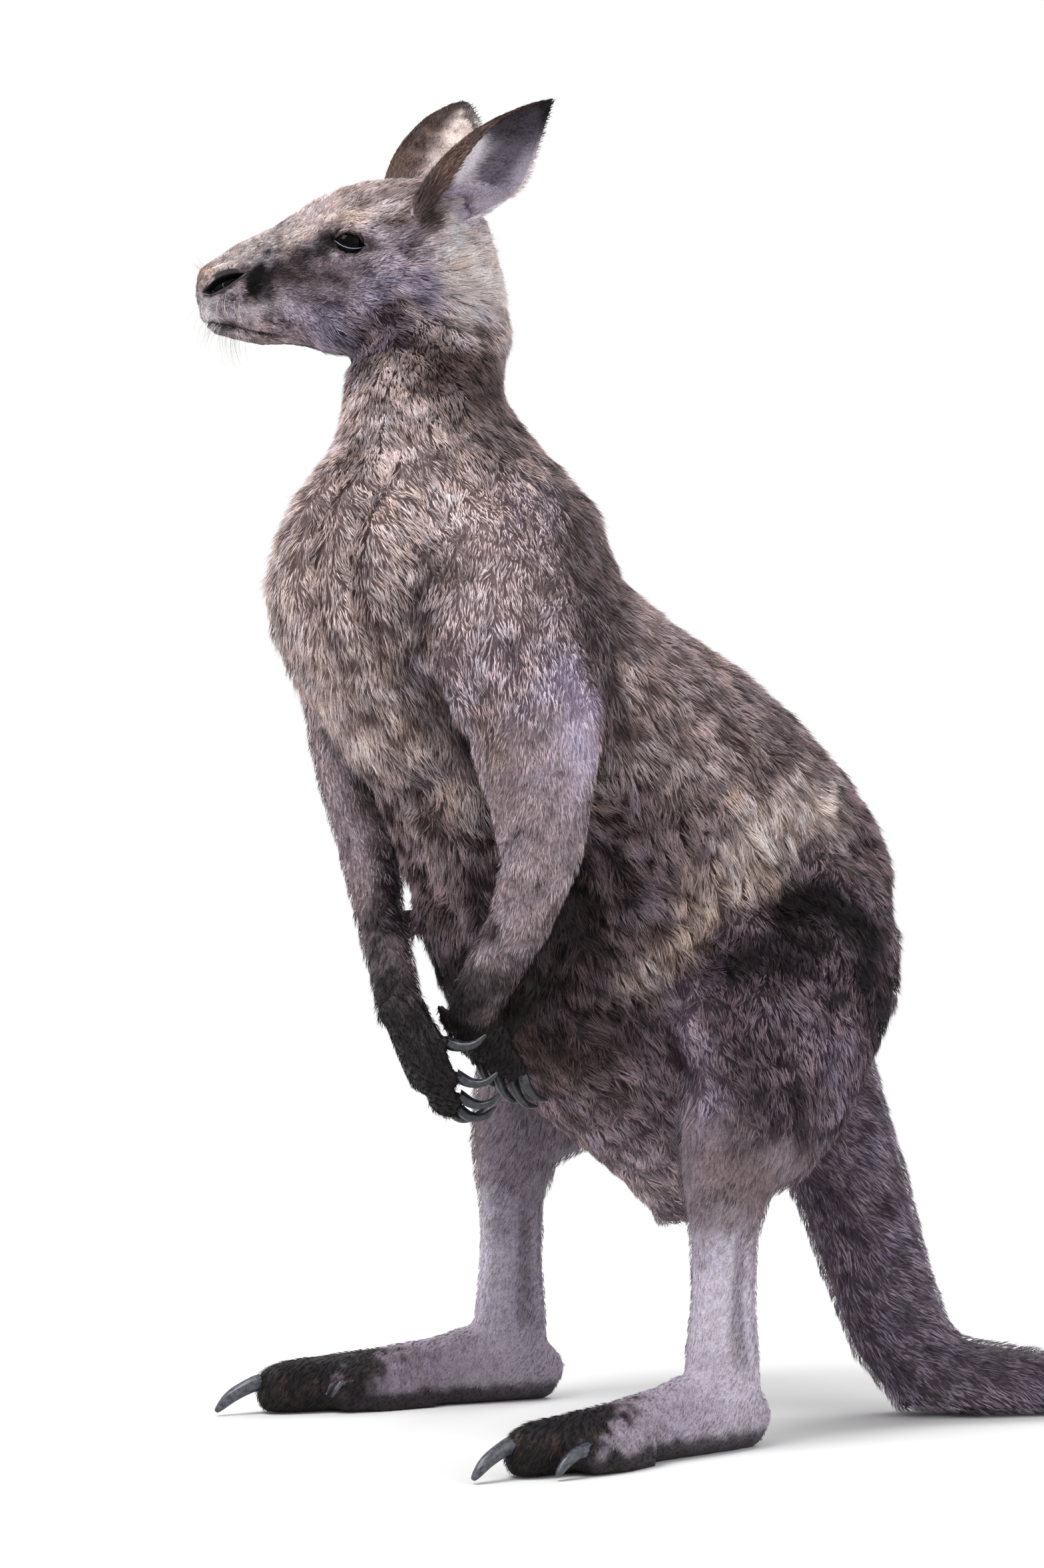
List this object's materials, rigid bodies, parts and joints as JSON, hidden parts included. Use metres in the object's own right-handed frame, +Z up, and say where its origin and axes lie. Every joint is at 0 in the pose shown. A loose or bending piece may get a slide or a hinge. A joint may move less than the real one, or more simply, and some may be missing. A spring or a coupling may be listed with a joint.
{
  "type": "kangaroo",
  "caption": "Still, life-size standing kangaroo with clasped forepaws, head turned to its right, propped on both hind feet and its tail.",
  "frame": {"origin": "on the floor, at the centre of the bottom of the model's bounding box", "axes": "+Z up, -Y the way the body faces, +X towards the animal's left side"},
  "size_m": [0.56, 1.2768, 1.3564],
  "materials": {
    "body_coat": "thick woolly grey-brown fur, pale cream-grey down the front of the neck and chest, with banded hairs tipped paler",
    "flank_coat": "long ruffled grey-brown fur in clumps, with pale cream tips on the rump and darker patches over hip and thigh",
    "tail_coat": "dense grey-brown fur lying back along the tail, darker above and towards the tip",
    "face_coat": "short flat fur, tan-beige over the muzzle, speckled grey on the cheek, whitish on lip and chin, dark round the nostril and eye",
    "ear_coat": "short fur, reddish-brown and grey behind, dark grey inside with a pale fringe, black-brown towards the tip",
    "arm_coat": "short speckled grey fur that darkens to black-brown on the hands",
    "leg_coat": "short whitish grey fur on the shank, grey on the foot, with long blackish hair on the toes and a dark leathery sole",
    "eye": "wet dark brown eye with a black pupil and a clear, mirror-smooth cornea",
    "hand_claw": "smooth grey-black curved horn, slightly glossy, paler towards its edge",
    "foot_claw": "slate-grey worn horn with fine lengthwise ridges, satin"
  },
  "bodies": {
    "root": {"belly": "body_coat", "chest": "body_coat", "claw_foot_l_2": "foot_claw", "claw_foot_l_3": "foot_claw", "claw_foot_l_4": "foot_claw", "claw_foot_l_5": "foot_claw", "claw_foot_r_2": "foot_claw", "claw_foot_r_3": "foot_claw", "claw_foot_r_4": "foot_claw", "claw_foot_r_5": "foot_claw", "claw_hand_l_1": "hand_claw", "claw_hand_l_2": "hand_claw", "claw_hand_l_3": "hand_claw", "claw_hand_l_4": "hand_claw", "claw_hand_l_5": "hand_claw", "claw_hand_r_1": "hand_claw", "claw_hand_r_2": "hand_claw", "claw_hand_r_3": "hand_claw", "claw_hand_r_4": "hand_claw", "claw_hand_r_5": "hand_claw", "ear_l": "ear_coat", "ear_r": "ear_coat", "eye_l": "eye", "eye_r": "eye", "foot_l": "leg_coat", "foot_r": "leg_coat", "forearm_l": "arm_coat", "forearm_r": "arm_coat", "head": "face_coat", "neck": "body_coat", "paw_l": "arm_coat", "paw_r": "arm_coat", "rump": "flank_coat", "shank_l": "leg_coat", "shank_r": "leg_coat", "tail_base": "tail_coat", "tail_middle": "tail_coat", "tail_tip": "tail_coat", "thigh_l": "flank_coat", "thigh_r": "flank_coat", "upper_arm_l": "arm_coat", "upper_arm_r": "arm_coat"}
  },
  "joints": []
}
